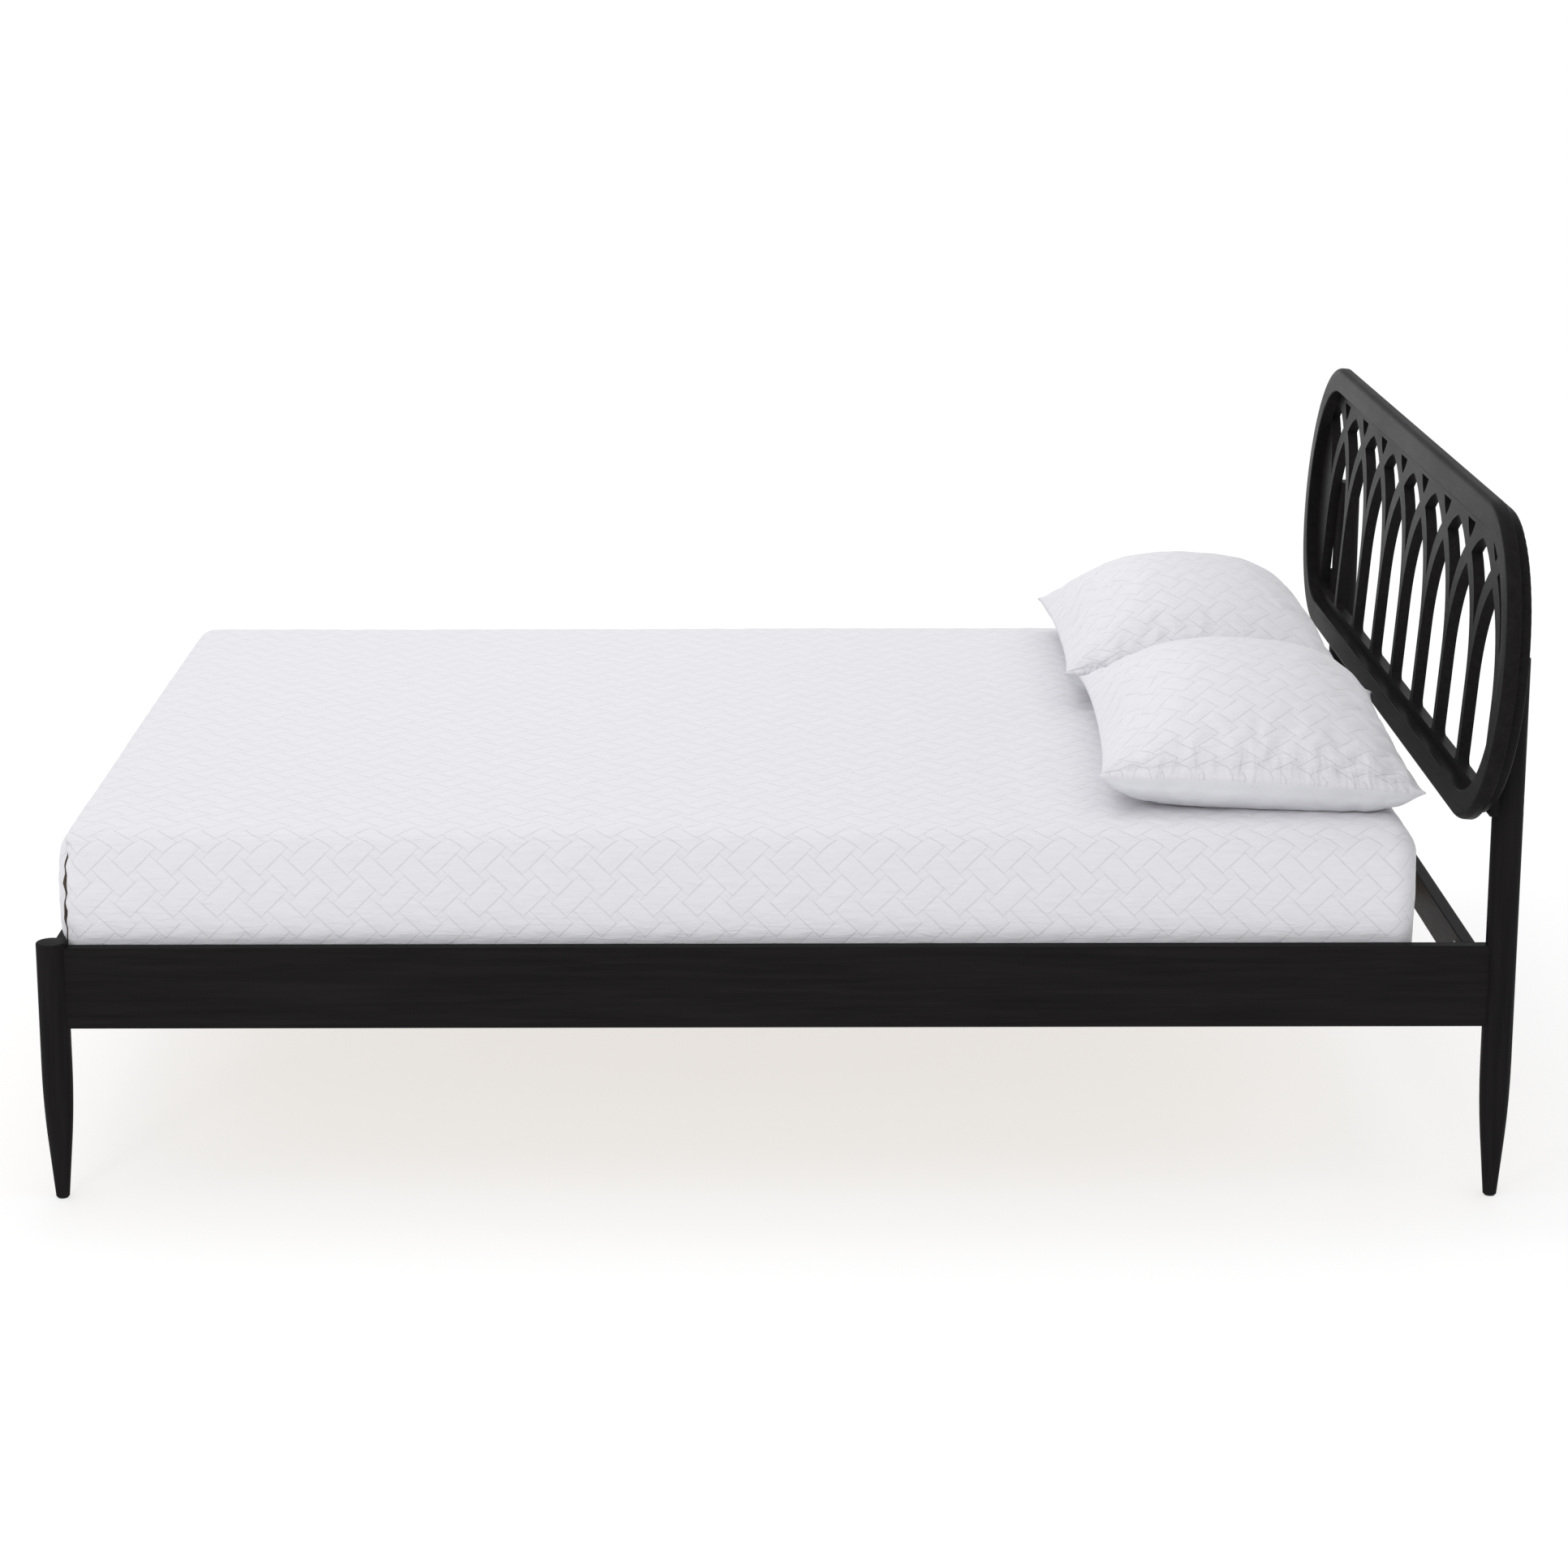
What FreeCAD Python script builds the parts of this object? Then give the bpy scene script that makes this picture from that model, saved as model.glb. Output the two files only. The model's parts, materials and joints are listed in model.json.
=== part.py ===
import FreeCAD, Part
import math
import os

# Queen-size platform bed: four turned legs, two side rails, a slatted base and a pill-shaped headboard
# whose ring frames a board cut as interlaced pointed arches. A mattress, a fitted quilted coverlet and
# two pillows lie on it. Millimetres, +Z up, floor at zero, +X to the head end, +Y to the left side.

V = FreeCAD.Vector

# Clearances and cuts
soft_gap = 0.3
slip_gap = 0.2
cope_gap = 0.05
overrun = 60.0
straight_angle = 0.5

# Legs
leg_spacing_length = 2197.0
leg_spacing_width = 1556.0
leg_diameter = 47.0
leg_foot_diameter = 21.0
leg_foot_round = 1.5
leg_cone_diameter = 37.2
leg_cone_height = 96.0
leg_taper_height = 215.0
leg_top_round = 2.5
foot_leg_rise = 8.0
head_post_rise = 445.0
glide_diameter = 16.0
glide_height = 2.0
glide_pin_diameter = 4.0
glide_pin_length = 12.0

# Rails
side_rail_thickness = 24.0
side_rail_height = 127.0
rail_top_height = 402.0
rail_edge_round = 2.0
foot_rail_thickness = 20.0
foot_rail_setback = 8.0
head_rail_thickness = 21.0
head_rail_height = 62.0
head_rail_setback = 47.5

# Slatted base
slat_recess = 49.0
slat_count = 13
slat_width = 85.0
slat_thickness = 18.0
slat_end_gap = 2.0
slat_edge_round = 3.0
slat_foot_margin = 22.0
slat_head_margin = 92.0
ledger_width = 25.0
ledger_height = 30.0
ledger_foot_gap = 6.0
ledger_head_gap = 6.0
beam_width = 45.0
beam_height = 70.0
hanger_thickness = 4.0
hanger_shelf = 45.0
hanger_cheek_height = 40.0
hanger_top_margin = 36.0

# Fasteners
rail_bolt_diameter = 8.0
rail_bolt_in_leg = 20.0
rail_bolt_in_rail = 62.0
side_bolt_edge = 30.0
foot_bolt_edge = 46.0
barrel_nut_diameter = 14.0
barrel_nut_length = 16.0
barrel_nut_setback = 44.0
screw_diameter = 5.0
screw_head_diameter = 9.0
screw_head_height = 3.0
ledger_screw_count = 7
ledger_screw_length = 42.0
ledger_screw_margin = 90.0
slat_screw_length = 36.0
bracket_leg = 45.0
bracket_height = 40.0
bracket_thickness = 3.0

# Headboard
lean_angle = 4.4
board_rise = 424.0
board_back_setback = 13.2
board_thickness = 17.8
board_edge_round = 6.0
ring_thickness = 21.0
ring_straight_setback = 78.0
ring_outer_radius = 243.5
ring_face_width = 43.5
ring_outer_round = 9.0
ring_back_round = 3.0
ring_inner_round = 3.0
board_inset = 11.5
dowel_diameter = 10.0
dowel_length = 60.0
dowel_spacing = 20.0
board_screw_length = 30.0
board_screw_count = 7
board_screw_margin = 60.0
end_screw_count = 3
end_screw_spread = 120.0
post_bolt_diameter = 8.0
post_bolt_head_diameter = 15.0
post_bolt_head_height = 6.0
post_bolt_spacing = 18.0
post_bolt_bite = 12.0
wedge_width = 34.0
wedge_drop = 19.0
wedge_rise = 51.0

# Fretwork, measured up from the middle of the board in its own plane
bay_count = 8
fret_end_reach = 98.0
bar_width = 20.0
slot_floor_drop = 185.5
slot_corner_round = 12.0
arch_spring_drop = 55.0
arch_apex_rise = 110.0
kite_foot_rise = 28.0
kite_side_rise = 131.0
kite_side_gap = 24.75
kite_top_rise = 167.0
kite_lower_bow = 11.0
kite_upper_bow = 4.6
shield_top_rise = 178.0
shield_foot_rise = 149.0
shield_half_width = 29.0
shield_bow = 2.5

# Bedding
coverlet_head_gap = 70.4
coverlet_side_gap = 1.5
coverlet_foot_gap = 0.6
coverlet_foot_overhang = 8.0
coverlet_skirt_inset = 2.0
coverlet_foot_bulge = 4.0
coverlet_head_bulge = 2.5
coverlet_side_bulge = 2.5
coverlet_rise = 171.0
coverlet_crown = 8.0
coverlet_thickness = 8.0
coverlet_tuck = 30.0
coverlet_top_round = 35.0
coverlet_corner_round = 38.0
slit_setback = 14.0
slit_width = 3.0
slit_depth = 26.0
slit_top_drop = 25.0
pillow_width = 495.0
pillow_gap = 23.0
pillow_sag = 49.0
pillow_right_crown = 136.0
pillow_left_crown = 146.0
pillow_corner = 7.0
pillow_side_draw = 16.0
pillow_top_fullness = 2.35
pillow_belly_fullness = 3.0
pillow_section_count = 13
pillow_curve_count = 13
pillow_right_setback = 212.5
pillow_right_margin = 95.0
pillow_right_turn = -2.4
pillow_right_tilt = 2.6
pillow_left_setback = 220.5
pillow_left_margin = 68.0
pillow_left_turn = -0.7
pillow_left_tilt = 2.4

# Derived places
leg_radius = leg_diameter / 2
foot_x = -leg_spacing_length / 2
head_x = leg_spacing_length / 2
left_y = leg_spacing_width / 2
rail_bottom_height = rail_top_height - side_rail_height
foot_leg_height = rail_top_height + foot_leg_rise
head_post_height = rail_top_height + head_post_rise
board_centre_height = rail_top_height + board_rise
ring_half_straight = left_y - ring_straight_setback
bay_pitch = 2 * (ring_half_straight + fret_end_reach) / bay_count
kite_half_width = bay_pitch / 2 - kite_side_gap
rail_inner_y = left_y - side_rail_thickness / 2
rail_outer_y = left_y + side_rail_thickness / 2
slat_top_height = rail_top_height - slat_recess
slat_bottom_height = slat_top_height - slat_thickness
foot_rail_inner_x = foot_x + foot_rail_setback + foot_rail_thickness / 2
foot_rail_outer_x = foot_rail_inner_x - foot_rail_thickness
head_rail_outer_x = head_x - head_rail_setback + head_rail_thickness / 2
head_rail_inner_x = head_rail_outer_x - head_rail_thickness
lean = math.radians(lean_angle)
ring_inner_radius = ring_outer_radius - ring_face_width
board_radius = ring_outer_radius - board_inset
SIDES = (("right", -1), ("left", 1))

pieces = {}


def box(x0, x1, y0, y1, z0, z1):
    return Part.makeBox(x1 - x0, y1 - y0, z1 - z0, V(x0, y0, z0))


def rod(radius, length, start, direction):
    return Part.makeCylinder(radius, length, start, direction)


def union(shapes):
    whole = shapes[0]
    if len(shapes) > 1:
        whole = whole.multiFuse(shapes[1:])
    return whole


def span(start, end, count):
    step = (end - start) / (count - 1)
    return [start + step * index for index in range(count)]


def flat_edges(shape, axis, value):
    found = []
    for edge in shape.Edges:
        places = [getattr(point, axis) for point in edge.discretize(5)]
        if max(abs(place - value) for place in places) < cope_gap / 10:
            found.append(edge)
    return found


def long_edges(shape, axis):
    found = []
    for edge in shape.Edges:
        ends = [vertex.Point for vertex in edge.Vertexes]
        if len(ends) == 2:
            run = ends[0].sub(ends[1]).normalize()
            if abs(run.dot(axis)) > math.cos(math.radians(straight_angle)):
                found.append(edge)
    return found


def screw(start, direction, length):
    shaft = rod(screw_diameter / 2, length, start, direction)
    head = rod(screw_head_diameter / 2, screw_head_height, start, direction)
    return shaft.fuse(head)


def screw_hole(start, direction, length):
    shaft = rod(screw_diameter / 2 + slip_gap, length + slip_gap, start, direction)
    head = rod(screw_head_diameter / 2 + slip_gap, screw_head_height, start, direction)
    return shaft.fuse(head)


# Turned leg: a cone at the floor that swells into a straight shaft with a flat, softened top
def turned_leg(height):
    foot_radius = leg_foot_diameter / 2
    cone_radius = leg_cone_diameter / 2
    swell = leg_radius - cone_radius
    rise = leg_taper_height - leg_cone_height
    sweep = (swell * swell + rise * rise) / (2 * swell)
    half_turn = math.asin(rise / sweep) / 2
    mid_radius = leg_radius - sweep + sweep * math.cos(half_turn)
    mid = V(mid_radius, 0, leg_taper_height - sweep * math.sin(half_turn))
    bend = math.cos(math.pi / 4)
    base = glide_height
    top_mid = V(leg_radius - leg_top_round * (1 - bend), 0, height - leg_top_round * (1 - bend))
    foot_mid = V(foot_radius - leg_foot_round * (1 - bend), 0, base + leg_foot_round * (1 - bend))
    a = V(0, 0, base)
    b = V(foot_radius - leg_foot_round, 0, base)
    c = V(foot_radius, 0, base + leg_foot_round)
    d = V(cone_radius, 0, leg_cone_height)
    e = V(leg_radius, 0, leg_taper_height)
    f = V(leg_radius, 0, height - leg_top_round)
    g = V(leg_radius - leg_top_round, 0, height)
    h = V(0, 0, height)
    edges = [
        Part.LineSegment(a, b).toShape(),
        Part.Arc(b, foot_mid, c).toShape(),
        Part.LineSegment(c, d).toShape(),
        Part.Arc(d, mid, e).toShape(),
        Part.LineSegment(e, f).toShape(),
        Part.Arc(f, top_mid, g).toShape(),
        Part.LineSegment(g, h).toShape(),
        Part.LineSegment(h, a).toShape(),
    ]
    return Part.Face(Part.Wire(edges)).revolve(V(0, 0, 0), V(0, 0, 1), 360)


# Pill outline in the board's own plane, extruded toward the back
def pill(half_straight, radius, front, back):
    top_right = V(front, -half_straight, radius)
    top_left = V(front, half_straight, radius)
    low_left = V(front, half_straight, -radius)
    low_right = V(front, -half_straight, -radius)
    tip_left = V(front, half_straight + radius, 0)
    tip_right = V(front, -half_straight - radius, 0)
    edges = [
        Part.LineSegment(top_right, top_left).toShape(),
        Part.Arc(top_left, tip_left, low_left).toShape(),
        Part.LineSegment(low_left, low_right).toShape(),
        Part.Arc(low_right, tip_right, top_right).toShape(),
    ]
    return Part.Face(Part.Wire(edges)).extrude(V(back - front, 0, 0))


# Takes a shape from the board's own plane to its leaning place on the posts
def seat(shape):
    placed = shape.copy()
    placed.rotate(V(0, 0, 0), V(0, 1, 0), lean_angle)
    placed.translate(V(head_x - board_back_setback, 0, board_centre_height))
    return placed


def bowed(start, end, bow):
    middle = start.add(end).multiply(1 / 2)
    along = end.sub(start).normalize()
    side = V(0, along.z, -along.y)
    return Part.Arc(start, middle.add(side.multiply(bow)), end).toShape()


def cut_out(edges, depth):
    return Part.Face(Part.Wire(edges)).extrude(V(depth, 0, 0))


board_front = -board_thickness
ring_front = board_front - ring_thickness
through = board_thickness + 2 * overrun


# Pointed arch standing on a flat floor with rounded corners
def arch_opening(centre):
    x = board_front - overrun
    half = bay_pitch / 2 - bar_width / 2
    floor = -slot_floor_drop
    spring = -arch_spring_drop
    rise = arch_apex_rise + arch_spring_drop
    radius = (half * half + rise * rise) / (2 * half)
    turn = math.asin(rise / radius) / 2
    reach = half - radius + radius * math.cos(turn)
    climb = spring + radius * math.sin(turn)
    soft = slot_corner_round
    bend = soft * (1 - math.cos(math.pi / 4))
    p = {}
    for name, sign in SIDES:
        p[name, "floor"] = V(x, centre + sign * (half - soft), floor)
        p[name, "corner"] = V(x, centre + sign * (half - bend), floor + bend)
        p[name, "foot"] = V(x, centre + sign * half, floor + soft)
        p[name, "spring"] = V(x, centre + sign * half, spring)
        p[name, "arc"] = V(x, centre + sign * reach, climb)
    apex = V(x, centre, arch_apex_rise)
    edges = [
        Part.LineSegment(p["right", "floor"], p["left", "floor"]).toShape(),
        Part.Arc(p["left", "floor"], p["left", "corner"], p["left", "foot"]).toShape(),
        Part.LineSegment(p["left", "foot"], p["left", "spring"]).toShape(),
        Part.Arc(p["left", "spring"], p["left", "arc"], apex).toShape(),
        Part.Arc(apex, p["right", "arc"], p["right", "spring"]).toShape(),
        Part.LineSegment(p["right", "spring"], p["right", "foot"]).toShape(),
        Part.Arc(p["right", "foot"], p["right", "corner"], p["right", "floor"]).toShape(),
    ]
    return cut_out(edges, through)


# Kite between two crossing arcs, above each bar
def kite_opening(centre):
    x = board_front - overrun
    foot = V(x, centre, kite_foot_rise)
    left = V(x, centre + kite_half_width, kite_side_rise)
    top = V(x, centre, kite_top_rise)
    right = V(x, centre - kite_half_width, kite_side_rise)
    edges = [
        bowed(foot, left, -kite_lower_bow),
        bowed(left, top, kite_upper_bow),
        bowed(top, right, kite_upper_bow),
        bowed(right, foot, -kite_lower_bow),
    ]
    return cut_out(edges, through)


# Small shield under the top rail, above each crossing
def shield_opening(centre):
    x = board_front - overrun
    foot = V(x, centre, shield_foot_rise)
    left = V(x, centre + shield_half_width, shield_top_rise)
    right = V(x, centre - shield_half_width, shield_top_rise)
    edges = [
        bowed(foot, left, shield_bow),
        Part.LineSegment(left, right).toShape(),
        bowed(right, foot, shield_bow),
    ]
    return cut_out(edges, through)


# Ring: one pill frame, softened, then parted where the straight rails meet the half-round ends
ring = pill(ring_half_straight, ring_outer_radius, ring_front, board_front)
ring = ring.makeFillet(ring_outer_round, flat_edges(ring, "x", ring_front))
ring = ring.makeFillet(ring_back_round, flat_edges(ring, "x", board_front))
ring = ring.cut(pill(ring_half_straight, ring_inner_radius, ring_front - overrun, board_front + overrun))
inner_edges = []
inner_limit = ring_inner_radius + ring_inner_round
for edge in flat_edges(ring, "x", ring_front):
    if edge.BoundBox.ZMax < inner_limit and edge.BoundBox.ZMin > -inner_limit:
        inner_edges.append(edge)
ring = ring.makeFillet(ring_inner_round, inner_edges)

# Board behind the ring
board = pill(ring_half_straight, board_radius, board_front, 0)
board = board.makeFillet(board_edge_round, flat_edges(board, "x", 0))
half_run = bay_count * bay_pitch / 2
half_pitch = bay_pitch / 2
openings = []
for middle in span(half_pitch - half_run, half_run - half_pitch, bay_count):
    openings.append(arch_opening(middle))
    openings.append(shield_opening(middle))
for middle in span(-half_run, half_run, bay_count + 1):
    openings.append(kite_opening(middle))
board = board.cut(openings)

# Dowels across the four joints of the ring
rim_radius = ring_outer_radius - ring_face_width / 2
dowel_x = board_front - ring_thickness / 2
dowels = []
dowel_holes = []
for name, sign in SIDES:
    for level in (-1, 1):
        for step in (-1, 1):
            height = level * rim_radius + step * dowel_spacing / 2
            start = V(dowel_x, sign * ring_half_straight - dowel_length / 2, height)
            dowels.append(rod(dowel_diameter / 2, dowel_length, start, V(0, 1, 0)))
            wide = V(dowel_x, start.y - slip_gap, height)
            bore = dowel_diameter / 2 + slip_gap
            dowel_holes.append(rod(bore, dowel_length + 2 * slip_gap, wide, V(0, 1, 0)))
ring = ring.cut(dowel_holes)

# Screws from the back of the board into the ring, in the middle of their overlap
lap_radius = (ring_inner_radius + board_radius) / 2
screws = []
screw_holes = []
places = []
screw_reach = ring_half_straight - board_screw_margin
for along in span(-screw_reach, screw_reach, board_screw_count):
    places.append((along, lap_radius))
    places.append((along, -lap_radius))
for name, sign in SIDES:
    for turn in span(-end_screw_spread / 2, end_screw_spread / 2, end_screw_count):
        angle = math.radians(turn)
        across = sign * (ring_half_straight + lap_radius * math.cos(angle))
        places.append((across, lap_radius * math.sin(angle)))
for across, up in places:
    screws.append(screw(V(0, across, up), V(-1, 0, 0), board_screw_length))
    screw_holes.append(screw_hole(V(0, across, up), V(-1, 0, 0), board_screw_length))
board = board.cut(screw_holes)
ring = ring.cut(screw_holes)

# Bolts that hold the headboard's lower rim to the posts, through saddle wedges
rim_drop = math.sqrt(lap_radius ** 2 - (left_y - ring_half_straight) ** 2)
bolt_middle = board_centre_height - rim_drop * math.cos(lean)
back_of_post = head_x + leg_radius
board_front_x = head_x - board_back_setback - rim_drop * math.sin(lean) - board_thickness
bolt_tip = board_front_x - post_bolt_bite
bolt_start = back_of_post
bolts = {}
bolt_holes = {}
for name, sign in SIDES:
    bolts[name] = []
    bolt_holes[name] = []
    for step in (-1, 1):
        height = bolt_middle + step * post_bolt_spacing / 2
        start = V(bolt_start - post_bolt_head_height, sign * left_y, height)
        shaft = rod(post_bolt_diameter / 2, start.x - bolt_tip, start, V(-1, 0, 0))
        head = rod(post_bolt_head_diameter / 2, post_bolt_head_height, start, V(-1, 0, 0))
        bolts[name].append(shaft.fuse(head))
        mouth = V(bolt_start + overrun, start.y, start.z)
        depth = overrun + 2 * post_bolt_head_height + slip_gap
        wide_head = rod(post_bolt_head_diameter / 2 + slip_gap, depth, mouth, V(-1, 0, 0))
        wide = rod(post_bolt_diameter / 2 + slip_gap, start.x - bolt_tip + slip_gap, start, V(-1, 0, 0))
        bolt_holes[name].append(wide_head)
        bolt_holes[name].append(wide)
all_bolt_holes = bolt_holes["right"] + bolt_holes["left"]

ring = seat(ring).cut(all_bolt_holes)
board = seat(board).cut(all_bolt_holes)
wide_reach = ring_half_straight + ring_outer_radius + overrun
tall_reach = ring_outer_radius + overrun
ring_depth = ring_front - overrun
straight = ring_half_straight
top_zone = seat(box(ring_depth, overrun, -straight, straight, 0, tall_reach))
low_zone = seat(box(ring_depth, overrun, -straight, straight, -tall_reach, 0))
pieces["ring_top_rail"] = ring.common(top_zone)
pieces["ring_bottom_rail"] = ring.common(low_zone)
right_zone = seat(box(ring_depth, overrun, -wide_reach, -straight, -tall_reach, tall_reach))
left_zone = seat(box(ring_depth, overrun, straight, wide_reach, -tall_reach, tall_reach))
pieces["ring_end_right"] = ring.common(right_zone)
pieces["ring_end_left"] = ring.common(left_zone)
pieces["fretwork_board"] = board
pieces["ring_dowels"] = seat(Part.makeCompound(dowels))
pieces["board_screws"] = seat(Part.makeCompound(screws))

# Space in front of the board's back face, used to plane the posts and the wedges to the lean
front_space = seat(box(-head_post_height, 0, -wide_reach, wide_reach, -head_post_height, head_post_height))

# Rail bolts run from the legs into the rails and are drawn up by barrel nuts
side_bolt_heights = (rail_bottom_height + side_bolt_edge, rail_top_height - side_bolt_edge)
foot_bolt_heights = (rail_bottom_height + foot_bolt_edge, rail_top_height - foot_bolt_edge)


def rail_bolt(start, direction):
    length = rail_bolt_in_leg + rail_bolt_in_rail
    return rod(rail_bolt_diameter / 2, length, start, direction)


def rail_bore(start, direction):
    length = rail_bolt_in_leg + rail_bolt_in_rail + 2 * slip_gap
    begin = start.sub(V(direction).multiply(slip_gap))
    return rod(rail_bolt_diameter / 2 + slip_gap, length, begin, direction)


corner_bolts = {}
corner_bores = {}
nuts = {}
nut_pockets = {}
bolt_root = leg_radius - rail_bolt_in_leg
for end, corner_x, inward in (("foot", foot_x, 1), ("head", head_x, -1)):
    for name, sign in SIDES:
        key = end + "_" + name
        corner_bolts[key] = []
        corner_bores[key] = []
        nuts[key] = []
        nut_pockets[key] = []
        for height in side_bolt_heights:
            start = V(corner_x + inward * bolt_root, sign * left_y, height)
            corner_bolts[key].append(rail_bolt(start, V(inward, 0, 0)))
            corner_bores[key].append(rail_bore(start, V(inward, 0, 0)))
            nut_x = corner_x + inward * (leg_radius + barrel_nut_setback)
            base = V(nut_x, sign * rail_inner_y, height)
            outward = V(0, sign, 0)
            nut = rod(barrel_nut_diameter / 2, barrel_nut_length, base, outward)
            nuts[key].append(nut.cut(corner_bores[key][-1]))
            pocket = V(nut_x, sign * (rail_inner_y - overrun), height)
            depth = barrel_nut_length + overrun + slip_gap
            nut_pockets[key].append(rod(barrel_nut_diameter / 2 + slip_gap, depth, pocket, outward))

foot_rail_x = foot_rail_inner_x - foot_rail_thickness / 2
for name, sign in SIDES:
    key = "foot_" + name
    for height in foot_bolt_heights:
        start = V(foot_rail_x, sign * (left_y - bolt_root), height)
        corner_bolts[key].append(rail_bolt(start, V(0, -sign, 0)))
        corner_bores[key].append(rail_bore(start, V(0, -sign, 0)))
        nut_y = sign * (left_y - leg_radius - barrel_nut_setback)
        base = V(foot_rail_inner_x, nut_y, height)
        nut = rod(barrel_nut_diameter / 2, barrel_nut_length, base, V(-1, 0, 0))
        nuts[key].append(nut.cut(corner_bores[key][-1]))
        pocket = V(foot_rail_inner_x + overrun, nut_y, height)
        depth = barrel_nut_length + overrun + slip_gap
        nut_pockets[key].append(rod(barrel_nut_diameter / 2 + slip_gap, depth, pocket, V(-1, 0, 0)))

# Legs, posts, glides and wedges
for end, corner_x, height in (("foot", foot_x, foot_leg_height), ("head", head_x, head_post_height)):
    for name, sign in SIDES:
        key = end + "_" + name
        place = V(corner_x, sign * left_y, 0)
        leg = turned_leg(height)
        leg.translate(place)
        pin_hole = rod(glide_pin_diameter / 2 + slip_gap, glide_pin_length + slip_gap, place, V(0, 0, 1))
        cuts = corner_bores[key] + [pin_hole]
        if end == "head":
            cuts = cuts + bolt_holes[name] + [front_space]
        node = "foot_leg_" + name if end == "foot" else "head_post_" + name
        pieces[node] = leg.cut(cuts)
        disc = rod(glide_diameter / 2, glide_height, place, V(0, 0, 1))
        pin = rod(glide_pin_diameter / 2, glide_pin_length, place, V(0, 0, 1))
        pieces["glide_" + key] = disc.fuse(pin)

for name, sign in SIDES:
    wedge = box(
        head_x - overrun, head_x, sign * left_y - wedge_width / 2, sign * left_y + wedge_width / 2,
        bolt_middle - wedge_drop, bolt_middle + wedge_rise,
    )
    saddle = rod(leg_radius + cope_gap, head_post_height, V(head_x, sign * left_y, 0), V(0, 0, 1))
    pieces["headboard_wedge_" + name] = wedge.cut([saddle, front_space] + bolt_holes[name])
    pieces["headboard_bolts_" + name] = Part.makeCompound(bolts[name])

# Side rails, coped to the legs, with their long edges softened
for name, sign in SIDES:
    rail = box(
        foot_x, head_x, sign * left_y - side_rail_thickness / 2, sign * left_y + side_rail_thickness / 2,
        rail_bottom_height, rail_top_height,
    )
    rail = rail.makeFillet(rail_edge_round, long_edges(rail, V(1, 0, 0)))
    cuts = []
    for end, corner_x in (("foot", foot_x), ("head", head_x)):
        key = end + "_" + name
        cuts.append(rod(leg_radius + cope_gap, head_post_height, V(corner_x, sign * left_y, 0), V(0, 0, 1)))
        cuts = cuts + corner_bores[key] + nut_pockets[key]
    ledger_start = foot_rail_inner_x + ledger_foot_gap
    ledger_end = head_rail_inner_x - ledger_head_gap
    ledger_y = sorted((sign * rail_inner_y, sign * (rail_inner_y - ledger_width)))
    ledger = box(
        ledger_start, ledger_end, ledger_y[0], ledger_y[1],
        slat_bottom_height - ledger_height, slat_bottom_height,
    )
    ledger_screws = []
    ledger_holes = []
    for x in span(ledger_start + ledger_screw_margin, ledger_end - ledger_screw_margin, ledger_screw_count):
        start = V(x, sign * (rail_inner_y - ledger_width), slat_bottom_height - ledger_height / 2)
        ledger_screws.append(screw(start, V(0, sign, 0), ledger_screw_length))
        ledger_holes.append(screw_hole(start, V(0, sign, 0), ledger_screw_length))
    if name == "right":
        pieces["side_rail_right"] = rail.cut(cuts + ledger_holes)
    else:
        pieces["side_rail_left"] = pieces["side_rail_right"].mirror(V(0, 0, 0), V(0, 1, 0))
    pieces["slat_ledger_" + name] = ledger.cut(ledger_holes)
    pieces["ledger_screws_" + name] = Part.makeCompound(ledger_screws)

# Foot rail between the foot legs
foot_rail = box(foot_rail_outer_x, foot_rail_inner_x, -left_y, left_y, rail_bottom_height, rail_top_height)
foot_rail = foot_rail.makeFillet(rail_edge_round, long_edges(foot_rail, V(0, 1, 0)))
cuts = []
for name, sign in SIDES:
    key = "foot_" + name
    cuts.append(rod(leg_radius + cope_gap, head_post_height, V(foot_x, sign * left_y, 0), V(0, 0, 1)))
    cuts = cuts + corner_bores[key] + nut_pockets[key]
foot_rail = foot_rail.cut(cuts)
pieces["foot_rail"] = max(foot_rail.Solids, key=lambda solid: solid.Volume)

# Head cross rail between the side rails, on two angle brackets
head_rail_bottom_height = rail_top_height - head_rail_height
head_rail = box(
    head_rail_inner_x, head_rail_outer_x, -rail_inner_y, rail_inner_y,
    head_rail_bottom_height, rail_top_height,
)
pieces["head_cross_rail"] = head_rail.makeFillet(rail_edge_round, long_edges(head_rail, V(0, 1, 0)))
bracket_middle = (head_rail_bottom_height + rail_top_height) / 2
for name, sign in SIDES:
    along = sorted((sign * rail_inner_y, sign * (rail_inner_y - bracket_thickness)))
    across = sorted((sign * rail_inner_y, sign * (rail_inner_y - bracket_leg)))
    low = bracket_middle - bracket_height / 2
    high = bracket_middle + bracket_height / 2
    on_rail = box(head_rail_inner_x - bracket_leg, head_rail_inner_x, along[0], along[1], low, high)
    cross_x = head_rail_inner_x - bracket_thickness
    on_cross = box(cross_x, head_rail_inner_x, across[0], across[1], low, high)
    pieces["head_rail_bracket_" + name] = on_rail.fuse(on_cross).removeSplitter()

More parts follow.
